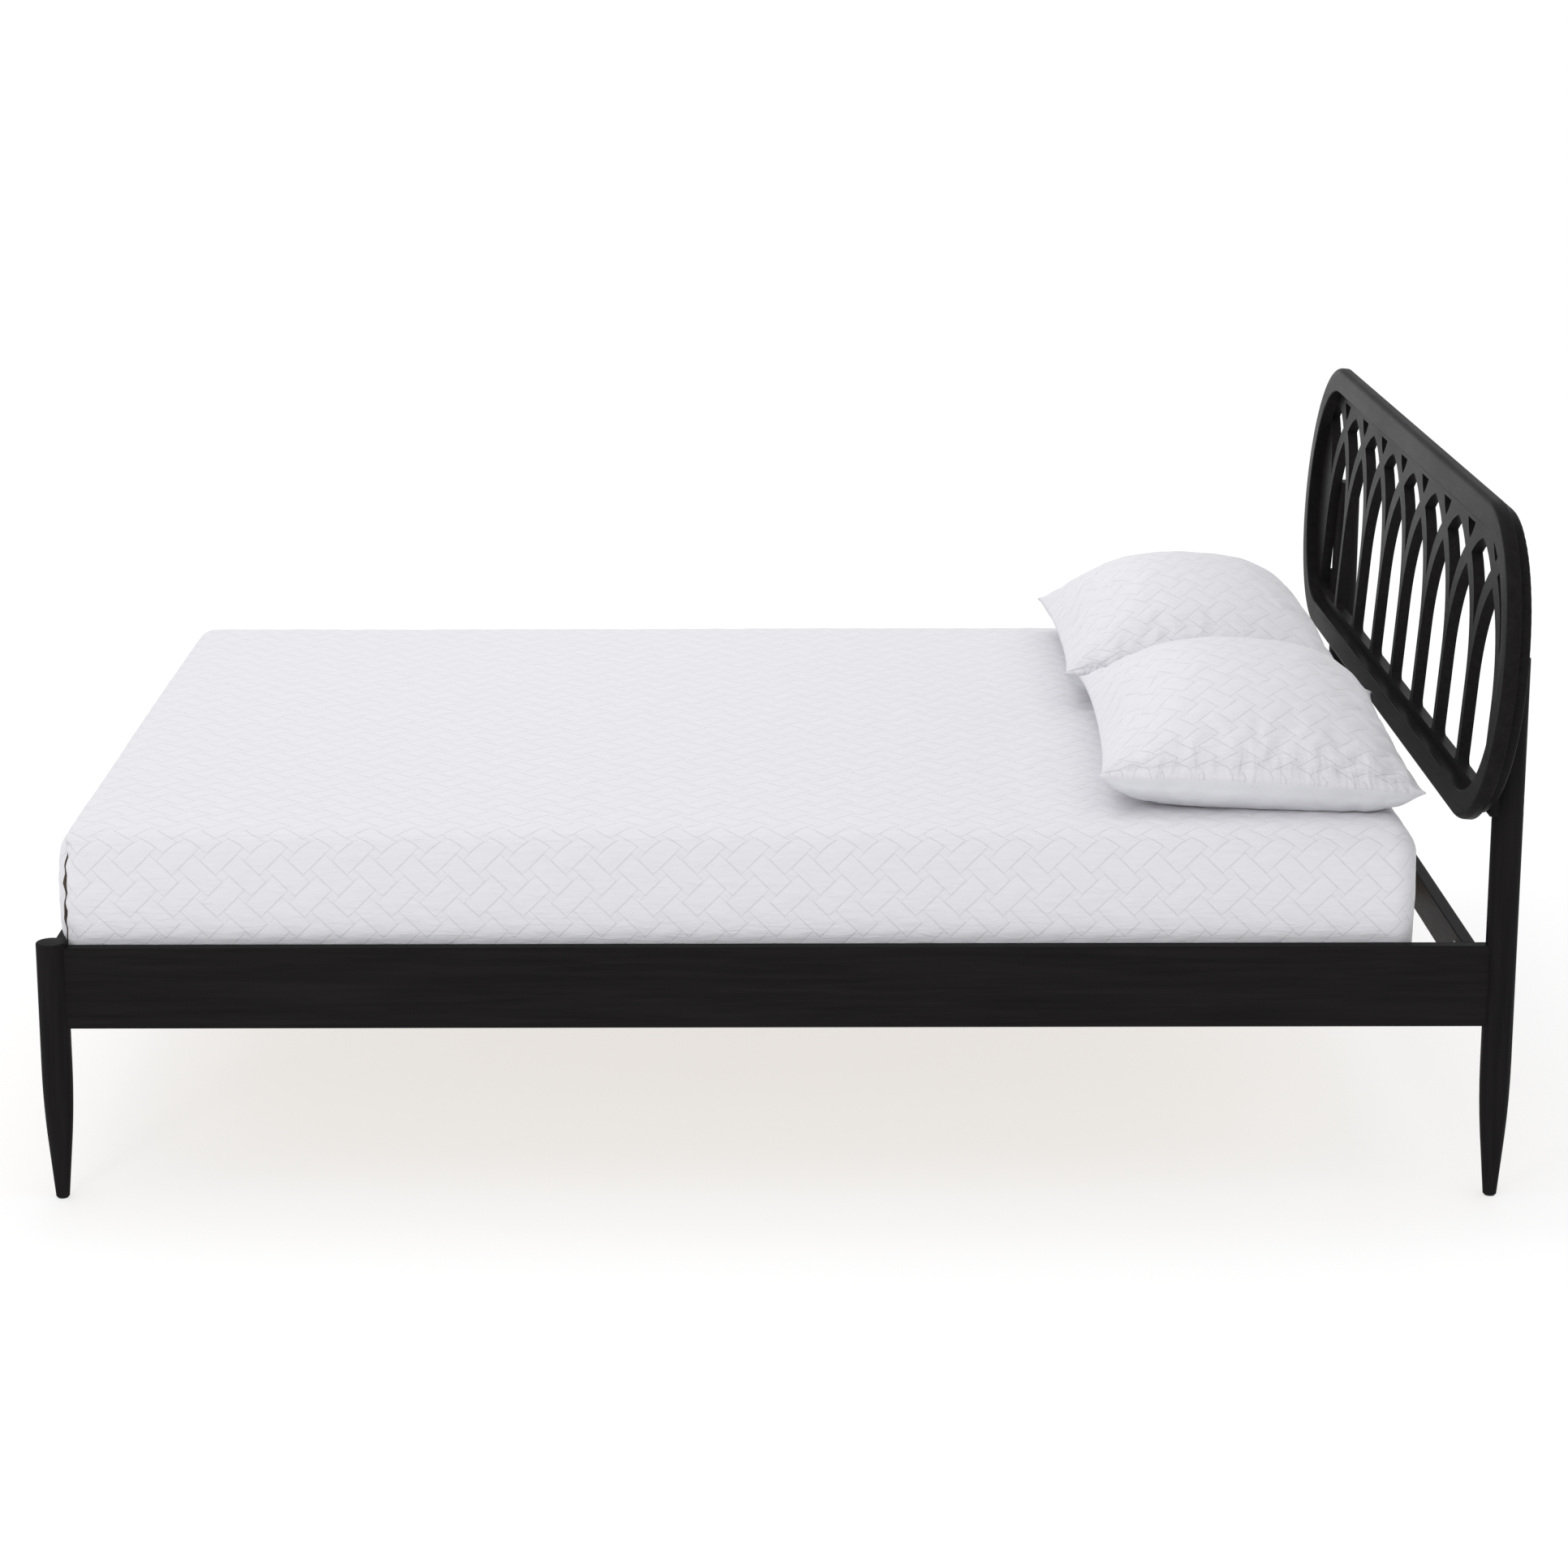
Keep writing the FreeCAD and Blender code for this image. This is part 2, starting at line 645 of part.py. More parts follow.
# Centre beam in two hangers
beam_bottom_height = slat_bottom_height - beam_height
half_beam = beam_width / 2
beam_start = foot_rail_inner_x + hanger_thickness
beam_end = head_rail_inner_x - hanger_thickness
pieces["centre_beam"] = box(
    beam_start, beam_end, -half_beam, half_beam, beam_bottom_height, slat_bottom_height,
)
for end, face_x, inward in (("foot", foot_rail_inner_x, 1), ("head", head_rail_inner_x, -1)):
    plate_x = sorted((face_x, face_x + inward * hanger_thickness))
    shelf_x = sorted((face_x, face_x + inward * hanger_shelf))
    half_hanger = half_beam + hanger_thickness
    floor = beam_bottom_height - hanger_thickness
    top = rail_top_height - hanger_top_margin
    plate = box(plate_x[0], plate_x[1], -half_hanger, half_hanger, floor, top)
    shelf = box(shelf_x[0], shelf_x[1], -half_hanger, half_hanger, floor, beam_bottom_height)
    cheek_top = beam_bottom_height + hanger_cheek_height
    cheek_right = box(shelf_x[0], shelf_x[1], -half_hanger, -half_beam, floor, cheek_top)
    cheek_left = box(shelf_x[0], shelf_x[1], half_beam, half_hanger, floor, cheek_top)
    pieces["beam_hanger_" + end] = union([plate, shelf, cheek_right, cheek_left]).removeSplitter()

# Slats across the ledgers and the beam, each with a screw at both ends
slat_half = rail_inner_y - slat_end_gap
first_slat = foot_rail_inner_x + slat_foot_margin + slat_width / 2
last_slat = head_rail_inner_x - slat_head_margin - slat_width / 2
slat_screws = {"right": [], "left": []}
ledger_cuts = {"right": [], "left": []}
for index, x in enumerate(span(first_slat, last_slat, slat_count)):
    slat = box(
        x - slat_width / 2, x + slat_width / 2, -slat_half, slat_half, slat_bottom_height, slat_top_height,
    )
    slat = slat.makeFillet(slat_edge_round, long_edges(slat, V(0, 1, 0)))
    holes = []
    for name, sign in SIDES:
        start = V(x, sign * (rail_inner_y - ledger_width / 2), slat_top_height)
        slat_screws[name].append(screw(start, V(0, 0, -1), slat_screw_length))
        holes.append(screw_hole(start, V(0, 0, -1), slat_screw_length))
        ledger_cuts[name].append(holes[-1])
    pieces["slat_" + str(index + 1).zfill(2)] = slat.cut(holes)
for name, sign in SIDES:
    pieces["slat_screws_" + name] = Part.makeCompound(slat_screws[name])
    pieces["slat_ledger_" + name] = pieces["slat_ledger_" + name].cut(ledger_cuts[name])

# Bolts and nuts, one group for each corner
for key in corner_bolts:
    pieces["rail_bolts_" + key] = Part.makeCompound(corner_bolts[key] + nuts[key])


# Mattress outline, drawn in by an inset: a straight skirt between the rails, and above them a block
# with bowed ends and sides, a crowned top and rolled edges
cover_x0 = foot_rail_inner_x + coverlet_foot_gap
cover_x1 = head_rail_inner_x - coverlet_head_gap
cover_half = rail_inner_y - coverlet_side_gap
cover_top = rail_top_height + coverlet_rise
pillow_run = 2 * cover_half - pillow_right_margin - pillow_left_margin
pillow_length = (pillow_run - pillow_gap) / 2
pillow_right_y = pillow_right_margin + pillow_length / 2 - cover_half
pillow_left_y = cover_half - pillow_left_margin - pillow_length / 2
cover_hem = rail_top_height - coverlet_tuck
ledge_height = rail_top_height + soft_gap


def bedding_block(inset, bottom):
    foot = cover_x0 + inset
    head = cover_x1 - inset
    half = cover_half - inset
    top = cover_top - inset
    ledge = ledge_height + inset
    corner = coverlet_corner_round - inset
    draw = coverlet_skirt_inset
    skirt = box(foot, head - draw, -half + draw, half - draw, bottom, ledge)
    skirt = skirt.makeFillet(corner - draw, long_edges(skirt, V(0, 0, 1)))
    outer_foot = foot - coverlet_foot_overhang
    tall = top + 2 * coverlet_crown
    high_middle = (ledge + tall) / 2
    middle = (ledge + top) / 2
    wide = -half - overrun
    end_profile = [
        Part.Arc(
            V(outer_foot, wide, ledge),
            V(outer_foot - coverlet_foot_bulge, wide, high_middle),
            V(outer_foot, wide, tall),
        ).toShape(),
        Part.LineSegment(V(outer_foot, wide, tall), V(head, wide, tall)).toShape(),
        Part.Arc(
            V(head, wide, tall), V(head + coverlet_head_bulge, wide, high_middle), V(head, wide, ledge),
        ).toShape(),
        Part.LineSegment(V(head, wide, ledge), V(outer_foot, wide, ledge)).toShape(),
    ]
    along = Part.Face(Part.Wire(end_profile)).extrude(V(0, 2 * half + 2 * overrun, 0))
    side_x = outer_foot - overrun
    side_profile = [
        Part.Arc(
            V(side_x, -half, ledge), V(side_x, -half - coverlet_side_bulge, middle), V(side_x, -half, top),
        ).toShape(),
        Part.Arc(V(side_x, -half, top), V(side_x, 0, top + coverlet_crown), V(side_x, half, top)).toShape(),
        Part.Arc(
            V(side_x, half, top), V(side_x, half + coverlet_side_bulge, middle), V(side_x, half, ledge),
        ).toShape(),
        Part.LineSegment(V(side_x, half, ledge), V(side_x, -half, ledge)).toShape(),
    ]
    across = Part.Face(Part.Wire(side_profile)).extrude(V(head - side_x + overrun, 0, 0))
    block = along.common(across)
    corners = []
    for edge in block.Edges:
        heights = [vertex.Z for vertex in edge.Vertexes]
        if max(heights) - min(heights) > (top - ledge) / 2:
            corners.append(edge)
    block = block.makeFillet(corner, corners)
    rim = []
    for edge in block.Edges:
        if min(point.z for point in edge.discretize(5)) > top - coverlet_crown:
            rim.append(edge)
    block = block.makeFillet(coverlet_top_round - inset, rim)
    return skirt.fuse(block).removeSplitter()


# Coverlet: a fitted shell with open corner seams at the foot, over the mattress
wall = coverlet_thickness
slits = []
for name, sign in SIDES:
    slit_x = cover_x0 - coverlet_foot_overhang + slit_setback
    slit_y = sorted((sign * (cover_half - slit_depth), sign * (cover_half + overrun)))
    slits.append(box(
        slit_x, slit_x + slit_width, slit_y[0], slit_y[1], ledge_height + wall, cover_top - slit_top_drop,
    ))
outer_block = bedding_block(0, cover_hem)
inner_block = bedding_block(wall, cover_hem - overrun)
pieces["coverlet"] = outer_block.cut([inner_block] + slits)
pieces["mattress"] = bedding_block(wall + soft_gap, slat_top_height + soft_gap)


# Pillow: full above and below a knife-edge seam, drawn in between its corners
def pillow_curve(half, y, rise, fullness):
    points = []
    for share in span(-1, 1, pillow_curve_count):
        across = math.sin(math.pi / 2 * share)
        swell = max(1 - abs(across) ** fullness, 0) ** (1 / fullness)
        points.append(V(half * across, y, rise * swell))
    curve = Part.BSplineCurve()
    curve.interpolate(points)
    return curve.toShape()


def pillow(crown):
    sections = []
    for share in span(-1, 1, pillow_section_count):
        y = pillow_length / 2 * math.sin(math.pi / 2 * share)
        swell = math.cos(math.pi / 2 * share)
        half = pillow_width / 2 - pillow_side_draw * swell
        up = pillow_corner + (crown - pillow_corner) * swell
        down = pillow_corner + (pillow_sag - pillow_corner) * swell
        sections.append(Part.Wire([
            pillow_curve(half, y, up, pillow_top_fullness),
            pillow_curve(half, y, -down, pillow_belly_fullness),
        ]))
    return Part.makeLoft(sections, True, False)


# Height of the crowned bed top at a distance from the middle
def bed_height(y):
    bend = (cover_half ** 2 + coverlet_crown ** 2) / (2 * coverlet_crown)
    return cover_top + coverlet_crown - bend + math.sqrt(bend ** 2 - y ** 2)


# Turned, tilted and let down until it clears the bed by the soft gap
def laid_pillow(crown, x, y, turn, tilt):
    cushion = pillow(crown)
    cushion.rotate(V(0, 0, 0), V(0, 1, 0), tilt)
    cushion.rotate(V(0, 0, 0), V(0, 0, 1), turn)
    cushion.translate(V(x, y, 0))
    points = cushion.tessellate(soft_gap / 4)[0]
    clear = min(point.z - bed_height(point.y) for point in points)
    cushion.translate(V(0, 0, soft_gap - clear))
    return cushion


pieces["pillow_right"] = laid_pillow(
    pillow_right_crown, cover_x1 - pillow_right_setback, pillow_right_y,
    pillow_right_turn, pillow_right_tilt,
)
pieces["pillow_left"] = laid_pillow(
    pillow_left_crown, cover_x1 - pillow_left_setback, pillow_left_y,
    pillow_left_turn, pillow_left_tilt,
)

os.makedirs("parts", exist_ok=True)
for node, shape in pieces.items():
    shape.exportStep("parts/" + node + ".step")
print(len(pieces), "nodes")
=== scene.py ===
import json
import math
import bmesh
import bpy
from mathutils import Matrix, Vector, noise


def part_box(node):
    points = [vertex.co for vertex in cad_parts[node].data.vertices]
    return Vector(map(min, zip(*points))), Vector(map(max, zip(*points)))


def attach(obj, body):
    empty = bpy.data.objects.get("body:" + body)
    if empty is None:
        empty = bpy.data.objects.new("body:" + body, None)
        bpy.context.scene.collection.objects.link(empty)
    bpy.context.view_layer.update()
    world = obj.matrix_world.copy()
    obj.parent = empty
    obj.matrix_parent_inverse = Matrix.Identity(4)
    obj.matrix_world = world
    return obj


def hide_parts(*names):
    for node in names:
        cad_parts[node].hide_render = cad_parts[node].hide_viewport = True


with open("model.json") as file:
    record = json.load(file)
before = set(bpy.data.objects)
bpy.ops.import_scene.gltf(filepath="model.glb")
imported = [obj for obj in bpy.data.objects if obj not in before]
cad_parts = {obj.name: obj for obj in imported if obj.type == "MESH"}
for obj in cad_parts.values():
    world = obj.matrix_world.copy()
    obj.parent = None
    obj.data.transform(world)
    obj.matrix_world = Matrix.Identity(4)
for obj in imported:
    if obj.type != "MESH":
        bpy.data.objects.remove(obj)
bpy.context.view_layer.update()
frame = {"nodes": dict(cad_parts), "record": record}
scene = bpy.context.scene
slot_of = {part["node"]: part["material_slot"] for part in frame["record"]["subparts"]}

# Places that the bedding is fitted to. All lengths here are in metres
rail_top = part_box("side_rail_right")[1].z
rail_inner_y = -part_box("side_rail_right")[1].y
foot_rail_inner_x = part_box("foot_rail")[1].x
cover_low, cover_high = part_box("coverlet")
touching = 0.00001

# Black wood
board_arris = 0.0014
flat_angle = math.radians(0.8)
sharp_angle = math.radians(32.0)
arris_angle = math.radians(40.0)

# Quilting: diagonal strips woven over and under each other, with hatched stitching in the squares between
strip_pitch = 0.0468
strip_root = strip_pitch * math.sqrt(2.0)
strip_share = 0.70
strip_relief = 0.0005
strip_puff = 0.0003
stitch_depth = 0.0005
stitch_share = 0.022
# Painted shade: the colour is darkened to this share along the stitch grooves
stitch_painted_shade = 0.90
hatch_count = 5.5
hatch_depth = 0.00006
# Painted highlight and shade: the hatch ridges are drawn lighter and darker in the colour by this share
hatch_painted_light_and_shade = 0.06
gather_depth = 0.0045
gather_band = (0.012, 0.13)

# Coverlet
cover_step = 0.0072
cover_hem_lift = 0.002
cover_round = 0.037
cover_foot_swell = 0.0035
cover_head_swell = 0.002
cover_side_swell = 0.0025
cover_bow_rate = 1.15
cover_crown = 0.008
cover_crown_run = 0.14
cover_crown_end_share = 0.45
cover_wave = 0.0016
cover_wave_scales = (2.3, 2.3, 3.0)
cover_wave_seed = 4.0
cover_ripple = 0.0006
cover_ripple_scales = (14.0, 14.0, 14.0)
cover_ripple_seed = 9.0
cover_lift_limit = 0.0008
cover_tuck_band = (0.010, 0.001)
cover_foot_gap = 0.0022
cover_side_gap = 0.0028

# Open seam at both foot corners of the coverlet
slit_top = 0.553
slit_top_clearance = 0.006
slit_gap = 0.006
slit_gap_wave_share = 0.5
slit_gap_wave_rate = 130.0
slit_lining = 0.012
slit_reach = 0.03
slit_least_share = 0.01
slit_fade = 0.03
slit_foot_band = (-0.01, 0.02)
slit_drift_low = -0.0015
slit_drift_rise = 0.0075
slit_drift_wave = 0.0012
slit_drift_wave_rate = 95.0
slit_pucker = 0.0022
slit_pucker_wave = 0.0014
slit_pucker_wave_rate = 210.0
slit_pucker_wave_start = 1.3

# Mattress
mattress_step = 0.03
mattress_round = 0.03
mattress_foot_inset = 0.006
mattress_inset = 0.004
mattress_top_inset = 0.008
mattress_tuck_band = (0.018, 0.002)
mattress_rail_gap = 0.012
mattress_base = 0.004
mattress_tuft = 0.001
mattress_tuft_scales = (6.0, 6.0, 6.0)

# Pillows: fullness is the power of the outline over a panel, first towards the foot, then the head
pillow_cells = (62, 92, 1)
pillow_width = 0.502
pillow_length = 0.672
pillow_draw = 0.016
pillow_corner = 0.012
pillow_rim = 0.002
pillow_lip = 0.005
pillow_arch = 0.006
pillow_reach = pillow_length / 2.0 - pillow_lip
pillow_cloth_across_share = 0.53
pillow_cloth_along_share = 0.55
pillow_cloth_across = pillow_width * pillow_cloth_across_share
pillow_cloth_along = pillow_length * pillow_cloth_along_share
top_fullness = (2.2, 2.6)
top_end_fullness = 2.4
top_power = 0.6
belly_fullness = (4.0, 4.0)
belly_end_fullness = 12.0
belly_power = 0.5
pillow_uneven = 0.0010
pillow_uneven_scales = (40.0, 40.0, 40.0)
pillow_clearance = 0.0006
pillow_steps = 20
pillow_fabric = {
    "quality": 5, "mass": 0.2, "air_damping": 2.0, "shrink_min": -0.04,
    "tension_stiffness": 20.0, "compression_stiffness": 12.0,
    "shear_stiffness": 4.0, "bending_stiffness": 0.04,
    "use_pressure": True, "uniform_pressure_force": 0.4, "vertex_group_mass": "seam",
}
crease_share = 0.75
crease_share_below = 0.25
crease_broad_share = 0.9
crease_rounds = 14
crease_limit = 0.012


# Eases from 0 to 1 as a value goes from one bound to the other
def smooth(low, high, value):
    share = min(max((value - low) / (high - low), 0.0), 1.0)
    return share * share * (3.0 - 2.0 * share)


# Slow noise over a place, with a scale for each axis
def unevenness(place, scales, seed=0.0):
    x, y, z = (side * scale for side, scale in zip(place, scales))
    return noise.noise(Vector((x, y, z + seed)))


# How far a woven strip stands up at a place on the flat cloth, from 0 at its stitching to 1 in its middle
def strip_rise(u, v):
    row, along_a = divmod((u + v) / strip_root, 1.0)
    column, along_b = divmod((u - v) / strip_root, 1.0)
    odd = (row + column) % 2.0
    on_a = along_a < strip_share
    on_b = along_b < strip_share

    def to_edge(along, across, shift):
        to_end = 1.0 - strip_share / 2.0 - abs(along - strip_share / 2.0 - shift)
        return min(to_end, strip_share / 2.0 - abs(across - strip_share / 2.0))

    edge = 0.0
    if on_b and not (on_a and odd):
        edge = to_edge(along_a, along_b, 0.0 if on_a else odd)
    elif on_a and not (on_b and not odd):
        edge = to_edge(along_b, along_a, 0.0 if on_b else 1.0 - odd)
    return smooth(0.0, strip_share / 2.0, edge)


# One procedural material, with short calls for the nodes it is made of
class Finish:
    # Most of a noise lies between these
    noise_low = 0.3
    noise_high = 0.7

    def __init__(self, name):
        self.material = bpy.data.materials.new(name)
        self.material.use_nodes = True
        self.tree = self.material.node_tree
        self.shader = self.tree.nodes["Principled BSDF"]

    def put(self, value, socket):
        if isinstance(value, bpy.types.NodeSocket):
            self.tree.links.new(value, socket)
        else:
            socket.default_value = value

    def node(self, kind, inputs=(), **settings):
        made = self.tree.nodes.new(kind)
        for name, value in settings.items():
            setattr(made, name, value)
        for name, value in dict(inputs).items():
            self.put(value, made.inputs[name])
        return made

    def maths(self, operation, *values):
        made = self.node("ShaderNodeMath", operation=operation)
        for index, value in enumerate(values):
            self.put(value, made.inputs[index])
        return made.outputs[0]

    def scaled(self, vector, scale):
        return self.node("ShaderNodeMapping", {"Vector": vector, "Scale": scale}).outputs[0]

    def places(self, scale):
        return self.scaled(self.node("ShaderNodeTexCoord").outputs["Object"], scale)

    def noise(self, vector, scale, detail, roughness=0.55, distortion=0.0):
        return self.node("ShaderNodeTexNoise", {
            "Vector": vector, "Scale": scale, "Detail": detail,
            "Roughness": roughness, "Distortion": distortion,
        }).outputs["Fac"]

    def span(self, value, low, high, start, end, ease="LINEAR"):
        return self.node("ShaderNodeMapRange", {
            "Value": value, "From Min": low, "From Max": high, "To Min": start, "To Max": end,
        }, interpolation_type=ease).outputs["Result"]

    def ramp(self, value, *stops):
        made = self.node("ShaderNodeValToRGB", {"Fac": value})
        marks = made.color_ramp.elements
        for mark, (place, colour) in zip(marks, stops):
            mark.position = place
            mark.color = (*colour, 1.0)
        return made.outputs["Color"]

    def tint(self, value, dark, light):
        return self.ramp(value, (self.noise_low, dark), (self.noise_high, light))

    def rough(self, value, low, high):
        self.set(Roughness=self.span(value, self.noise_low, self.noise_high, low, high))

    def relief(self, value, depth):
        return self.maths("MULTIPLY", value, depth)

    def bump(self, *heights):
        height, *others = heights
        for other in others:
            height = self.maths("ADD", height, other)
        made = self.node("ShaderNodeBump", {"Height": height, "Strength": 1.0, "Distance": 1.0})
        self.put(made.outputs["Normal"], self.shader.inputs["Normal"])

    def set(self, **values):
        for name, value in values.items():
            self.put(value, self.shader.inputs[name.replace("_", " ")])


# Wood with its grain along one axis
def wood(name, axis, dark, light, rough, grain_depth, shine=0.3):
    made = Finish(name)

    def along_grain(across_scale, grain_scale):
        scale = [across_scale, across_scale, across_scale]
        scale[axis] = grain_scale
        return made.places(scale)

    fibre = made.noise(along_grain(34.0, 1.6), scale=3.0, detail=6.0, roughness=0.62, distortion=0.4)
    pores = made.noise(along_grain(260.0, 9.0), scale=3.0, detail=2.0, roughness=0.5)
    cloud = made.noise(made.places((3.0, 3.0, 3.0)), scale=2.0, detail=3.0)
    made.set(Base_Color=made.tint(fibre, dark, light), Specular_IOR_Level=shine)
    made.rough(made.maths("DIVIDE", made.maths("ADD", pores, cloud), 2.0), *rough)
    made.bump(made.relief(fibre, grain_depth), made.relief(pores, grain_depth))
    return made.material


def steel():
    made = Finish("zinc plated steel")
    streak = made.noise(made.places((40.0, 40.0, 600.0)), scale=4.0, detail=3.0)
    dark, light = (0.36, 0.36, 0.37), (0.48, 0.48, 0.49)
    made.set(Metallic=1.0, Base_Color=made.ramp(streak, (0.35, dark), (0.65, light)))
    made.rough(streak, low=0.28, high=0.42)
    made.bump(made.relief(streak, depth=0.00004))
    return made.material


def nylon():
    made = Finish("black nylon")
    pits = made.noise(made.places((1.0, 1.0, 1.0)), scale=900.0, detail=3.0)
    dark, light = (0.012, 0.012, 0.012), (0.022, 0.022, 0.022)
    made.set(Base_Color=made.ramp(pits, (0.35, dark), (0.65, light)))
    made.rough(pits, low=0.5, high=0.65)
    made.bump(made.relief(pits, depth=0.00006))
    return made.material


# Woven strips over the cloth's own flat coordinates, as a height and as painted shading on its colour:
# painted shade along the stitch grooves, painted highlight and shade on the hatch ridges
def woven_strips(made, u, v):
    maths = made.maths
    a = maths("DIVIDE", maths("ADD", u, v), strip_root)
    b = maths("DIVIDE", maths("SUBTRACT", u, v), strip_root)
    along_a = maths("FRACT", a)
    along_b = maths("FRACT", b)
    odd = maths("FLOORED_MODULO", maths("ADD", maths("FLOOR", a), maths("FLOOR", b)), 2.0)
    even = maths("SUBTRACT", 1.0, odd)
    on_a = maths("LESS_THAN", along_a, strip_share)
    on_b = maths("LESS_THAN", along_b, strip_share)
    off_a = maths("SUBTRACT", 1.0, on_a)
    off_b = maths("SUBTRACT", 1.0, on_b)

    def to_edge(along, across, shift):
        endways = maths("ABSOLUTE", maths("SUBTRACT", maths("SUBTRACT", along, strip_share / 2.0), shift))
        to_end = maths("SUBTRACT", 1.0 - strip_share / 2.0, endways)
        sideways = maths("ABSOLUTE", maths("SUBTRACT", across, strip_share / 2.0))
        to_side = maths("SUBTRACT", strip_share / 2.0, sideways)
        return maths("MINIMUM", to_end, to_side)

    rising = maths("MULTIPLY", on_b, maths("SUBTRACT", 1.0, maths("MULTIPLY", on_a, odd)))
    falling = maths("MULTIPLY", on_a, maths("SUBTRACT", 1.0, maths("MULTIPLY", on_b, even)))
    rising_edge = maths("MULTIPLY", rising, to_edge(along_a, along_b, maths("MULTIPLY", off_a, odd)))
    falling_edge = maths("MULTIPLY", falling, to_edge(along_b, along_a, maths("MULTIPLY", off_b, even)))
    edge = maths("ADD", rising_edge, falling_edge)
    puff = made.span(edge, 0.0, strip_share / 2.0, 0.0, strip_puff, "SMOOTHERSTEP")
    groove = made.span(edge, 0.0, stitch_share, -stitch_depth, 0.0, "SMOOTHSTEP")
    gap = maths("MULTIPLY", off_a, off_b)
    hatch_rate = 2.0 * math.pi * hatch_count / (1.0 - strip_share)
    hatch = maths("MULTIPLY", gap, maths("SINE", maths("MULTIPLY", along_a, hatch_rate)))
    # Painted shade in the stitch grooves, as a factor on the colour
    groove_painted_shade = made.span(maths("ADD", edge, gap), 0.0, stitch_share, stitch_painted_shade, 1.0, "SMOOTHSTEP")
    # Painted highlight and shade on the hatch ridges, added to the colour factor
    painted_shading = maths("MULTIPLY_ADD", hatch, hatch_painted_light_and_shade, groove_painted_shade)
    return maths("MULTIPLY_ADD", hatch, hatch_depth, maths("ADD", puff, groove)), painted_shading


# Creases that run in from the seams at both ends, over cloth that reaches this far from its middle
def gathers(made, uv, v, reach):
    narrow = made.scaled(uv, (64.0, 7.0, 1.0))
    folds = made.noise(narrow, scale=1.0, detail=2.0, roughness=0.5, distortion=0.5)
    to_seam = made.maths("SUBTRACT", reach, made.maths("ABSOLUTE", v))
    return made.relief(folds, depth=made.span(to_seam, *gather_band, gather_depth, 0.0, "SMOOTHSTEP"))


def quilted(name, pucker_depth, gathered_reach=0.0):
    made = Finish(name)
    uv = made.node("ShaderNodeUVMap", uv_map="cloth").outputs["UV"]
    flat = made.node("ShaderNodeSeparateXYZ", {"Vector": uv}).outputs
    weave, painted_shading = woven_strips(made, flat["X"], flat["Y"])
    wide = made.scaled(uv, (26.0, 120.0, 1.0))
    puckers = made.noise(wide, scale=1.0, detail=3.0, roughness=0.6, distortion=0.6)
    threads = made.noise(uv, scale=900.0, detail=2.0)
    heights = [weave, made.relief(puckers, pucker_depth), made.relief(threads, depth=0.00012)]
    if gathered_reach:
        heights.append(gathers(made, uv, flat["Y"], gathered_reach))
    made.bump(*heights)
    # Painted shade: the colour follows the puckers' height, darker in their hollows and lighter on their
    # ridges
    dark, light = (0.675, 0.670, 0.705), (0.705, 0.700, 0.735)
    tone_with_painted_pucker_shade = made.ramp(puckers, (0.25, dark), (0.75, light))
    # The weave's painted shading scales the cloth's colour
    tone_with_painted_shading = made.node("ShaderNodeVectorMath", {"Vector": tone_with_painted_pucker_shade, "Scale": painted_shading}, operation="SCALE")
    made.set(Base_Color=tone_with_painted_shading.outputs["Vector"])
    made.rough(threads, low=0.82, high=0.95)
    made.set(Sheen_Weight=0.15, Sheen_Roughness=0.5, Specular_IOR_Level=0.25)
    return made.material


def plain_cotton(name, dark, light):
    made = Finish(name)
    threads = made.noise(made.places((1.0, 1.0, 1.0)), scale=800.0, detail=3.0)
    across = made.places((9.0, 22.0, 9.0))
    creases = made.noise(across, scale=1.6, detail=4.0, roughness=0.5, distortion=0.5)
    # Painted shade: the colour follows the creases' height, darker in their hollows and lighter on their
    # ridges
    made.set(Base_Color=made.tint(creases, dark, light))
    made.rough(threads, low=0.8, high=0.95)
    made.set(Sheen_Weight=0.15, Specular_IOR_Level=0.25)
    made.bump(made.relief(creases, depth=0.0022), made.relief(threads, depth=0.0001))
    return made.material


# Dark brown ribbed strips that line the open seams at the foot corners, seen through their gaps
def dark_slit_lining_cloth():
    made = Finish("brown binding")
    ribs = made.noise(made.places((60.0, 60.0, 900.0)), scale=1.5, detail=3.0)
    dark, light = (0.045, 0.032, 0.022), (0.085, 0.062, 0.044)
    made.set(Base_Color=made.tint(ribs, dark, light))
    made.rough(ribs, low=0.75, high=0.95)
    made.bump(made.relief(ribs, depth=0.0004))
    return made.material


black_wood = [
    wood(
        "black lacquered wood, grain " + "XYZ"[axis], axis,
        dark=(0.0098, 0.0090, 0.0091), light=(0.0148, 0.0136, 0.0138),
        rough=(0.33, 0.41), grain_depth=0.00004, shine=0.009,
    )
    for axis in range(3)
]
finish_of = {
    "slat_pine": wood(
        "slat pine", 1, dark=(0.50, 0.33, 0.17), light=(0.64, 0.46, 0.27),
        rough=(0.5, 0.62), grain_depth=0.0001,
    ),
    "base_pine": wood(
        "base pine", 0, dark=(0.42, 0.28, 0.15), light=(0.56, 0.40, 0.24),
        rough=(0.52, 0.64), grain_depth=0.0001,
    ),
    "beech": wood(
        "beech", 1, dark=(0.52, 0.34, 0.19), light=(0.62, 0.44, 0.27),
        rough=(0.45, 0.55), grain_depth=0.00006,
    ),
    "steel": steel(),
    "glide_nylon": nylon(),
}
quilt = quilted("quilted cotton", pucker_depth=0.0018)
pillow_quilt = quilted("quilted pillow cotton", pucker_depth=0.0016, gathered_reach=pillow_cloth_along)
pillow_plain = plain_cotton(
    "plain pillow cotton", dark=(0.68, 0.685, 0.71), light=(0.714, 0.71925, 0.7455),
)
ticking = plain_cotton(
    "mattress ticking", dark=(0.70, 0.69, 0.66), light=(0.735, 0.7245, 0.693),
)
dark_slit_lining = dark_slit_lining_cloth()


